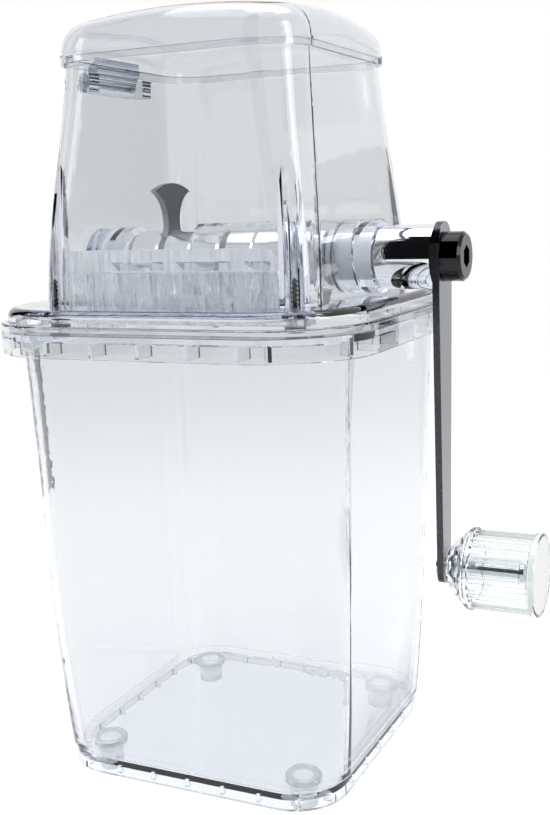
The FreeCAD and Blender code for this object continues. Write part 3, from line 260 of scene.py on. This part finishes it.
# Rings and sleeve. Steel tube cut to length and chromed: mirror bright, with fine marks from turning and polishing.
def metal(name, tone, rough, streak):
    """Metal with marks that run round X. Streak is how much they change its roughness."""
    material = bpy.data.materials.new(name)
    material.use_nodes = True
    tree = material.node_tree
    tree.nodes.clear()
    place = add(tree, "ShaderNodeTexCoord")
    turn = add(tree, "ShaderNodeMapping", [("Vector", place.outputs["Object"])], Scale=(4, 0.4, 0.4))
    marks = add(tree, "ShaderNodeTexNoise", [("Vector", turn.outputs[0])], Scale=900.0, Detail=3.0)
    level = add(tree, "ShaderNodeMapRange", [("Value", marks.outputs["Fac"])], To_Min=max(0, rough - streak),
                To_Max=rough + streak)
    skin = add(tree, "ShaderNodeBsdfPrincipled", [("Roughness", level.outputs[0])], Base_Color=linear(tone),
               Metallic=1.0)
    add(tree, "ShaderNodeOutputMaterial", [("Surface", skin.outputs[0])])
    return material


chrome = metal("chrome_plate", "#E9EAEE", 0.05, 0.02)
finish_with(chrome, "crank_sleeve")
turned_chrome = metal("turned_chrome", "#E6E7EB", 0.14, 0.06)
finish_with(turned_chrome, "spacer_1", "spacer_2", "spacer_3", "spacer_4", "spacer_5", "spacer_6")


# Shaft, clips and the pins of hinge and grip. Free-cutting steel, turned and left bare, so it looks a little greyer
# and softer than the chrome.
steel = metal("turned_steel", "#D4D5D9", 0.16, 0.06)
finish_with(steel, "shaft", "clip_left", "clip_right", "hinge_pin", "grip_pin")


# Blades. Stainless sheet, blanked to a fan and satin rolled, so they look mid grey beside the chrome.
blade_steel = metal("satin_stainless", "#8D8E92", 0.3, 0.08)
finish_with(blade_steel, "blade_left", "blade_middle", "blade_right")


# Crank arm. Stainless strip, blanked and belt ground, held between sleeve and screw. Its edges and inner face carry
# a painted shade, near black and mottled, darker than the flat outer face.
arm_tone = "#85878B"
arm_steel = metal("ground_stainless", arm_tone, 0.22, 0.06)
tree = arm_steel.node_tree
place = add(tree, "ShaderNodeTexCoord")
across = add(tree, "ShaderNodeSeparateXYZ", [(0, place.outputs["Object"])])
# Painted shade: everything short of the outer face in X, that is the edges and the inner face, is coloured near black,
# mottled between two dark greys. Only the outer face keeps the steel's tone.
flat = add(tree, "ShaderNodeMapRange", [("Value", across.outputs["X"])], From_Min=0.07085, From_Max=0.07097)
shade_mottle = add(tree, "ShaderNodeTexNoise", [("Vector", place.outputs["Object"])], Scale=1600.0, Detail=4.0)
edge = add(tree, "ShaderNodeMix", [(0, shade_mottle.outputs["Fac"])], data_type="RGBA")
edge.inputs[6].default_value, edge.inputs[7].default_value = linear("#1E1F22"), linear("#5C5E62")
tone = add(tree, "ShaderNodeMix", [(0, flat.outputs[0]), (6, edge.outputs[2])], data_type="RGBA")
tone.inputs[7].default_value = linear(arm_tone)
tree.links.new(tone.outputs[2], tree.nodes["Principled BSDF"].inputs["Base Color"])
finish_with(arm_steel, "crank_arm")


# Crank screw. Socket head screw in black chrome, near black with sharp highlights, drawn up into the shaft's end.
dark_chrome = metal("dark_chrome", "#302E30", 0.08, 0.03)
finish_with(dark_chrome, "crank_screw")


# Grip. A ribbed, cored SAN moulding of a paler grade that spins on its riveted pin: thick as it is, it looks white,
# with fine dark lines where it shows the steel pin through its ribs.
pale_clear = clear_san("pale_san", "#F7FAF9", 5.0)
finish_with(pale_clear, "grip")


# Comb screws. Thread-forming screws for plastic, steel: a coarse thread on a thin core and a pan head under the comb's
# foot. They run up into the bored front pillars, where the thread shows as a ladder of dark marks. Metres.
dark_steel = metal("tempered_steel", "#4E5054", 0.25, 0.08)
screw_x, screw_y = 0.0396, -0.0414
head_top, tip = 0.1498, 0.1628
core, crest, pitch, turns, steps_a_turn = 0.00105, 0.0015, 0.0013, 9, 20
sunk, half_root, half_crest, run_out = 0.0002, 0.00042, 0.00008, 0.0006
head_radius, head_height, head_round = 0.003, 0.002, 0.0008
shank_length = tip - head_top
both_screws = bmesh.new()
for side in (-1, 1):
    screw = bmesh.new()
    tooth = [screw.verts.new(at) for at in ((core - sunk, 0, -half_root), (crest, 0, -half_crest),
                                            (crest, 0, half_crest), (core - sunk, 0, half_root))]
    face = screw.faces.new(tooth)
    bmesh.ops.spin(screw, geom=[face, *face.edges, *tooth], cent=(0, 0, 0), axis=(0, 0, 1),
                   dvec=(0, 0, pitch / steps_a_turn), angle=math.tau * turns, steps=steps_a_turn * turns,
                   use_duplicate=False)
    bmesh.ops.translate(screw, vec=(0, 0, head_top + run_out), verts=screw.verts)
    shank = bmesh.ops.create_cone(screw, cap_ends=True, segments=24, radius1=core, radius2=core * 0.7,
                                  depth=shank_length)["verts"]
    bmesh.ops.translate(screw, vec=(0, 0, head_top + shank_length / 2), verts=shank)
    head = bmesh.ops.create_cone(screw, cap_ends=True, segments=32, radius1=head_radius, radius2=head_radius,
                                 depth=head_height)["verts"]
    bmesh.ops.translate(screw, vec=(0, 0, head_top - head_height / 2), verts=head)
    rim = [edge for edge in screw.edges
           if all(vert in head and vert.co.z < head_top - head_height / 2 for vert in edge.verts)]
    bmesh.ops.bevel(screw, geom=rim, offset=head_round, segments=4, affect="EDGES", profile=0.5, material=-1)
    bmesh.ops.translate(screw, vec=(side * screw_x, screw_y, 0), verts=screw.verts)
    bmesh.ops.recalc_face_normals(screw, faces=screw.faces)
    part = bpy.data.meshes.new("one_screw")
    screw.to_mesh(part)
    screw.free()
    both_screws.from_mesh(part)
    bpy.data.meshes.remove(part)
screws_data = bpy.data.meshes.new("comb_screws_threaded")
both_screws.to_mesh(screws_data)
both_screws.free()
screws_data.materials.append(dark_steel)
screws = bpy.data.objects.new("comb_screws_threaded", screws_data)
scene.collection.objects.link(screws)
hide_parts("comb_screws")
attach(screws, "upper")


# Bushes and the grip's end cap. White ABS mouldings, pushed in: opaque, with a soft moulded sheen.
white_plastic = bpy.data.materials.new("white_abs")
white_plastic.use_nodes = True
tree = white_plastic.node_tree
tree.nodes.clear()
place = add(tree, "ShaderNodeTexCoord")
grain = add(tree, "ShaderNodeTexNoise", [("Vector", place.outputs["Object"])], Scale=2500.0)
pores = add(tree, "ShaderNodeBump", [("Height", grain.outputs["Fac"])], Strength=0.05, Distance=0.0001)
skin = add(tree, "ShaderNodeBsdfPrincipled", [("Normal", pores.outputs[0])], Base_Color=linear("#F1F1F0"),
           Roughness=0.4)
add(tree, "ShaderNodeOutputMaterial", [("Surface", skin.outputs[0])])
finish_with(white_plastic, "left_bush", "right_bush", "grip_cap")
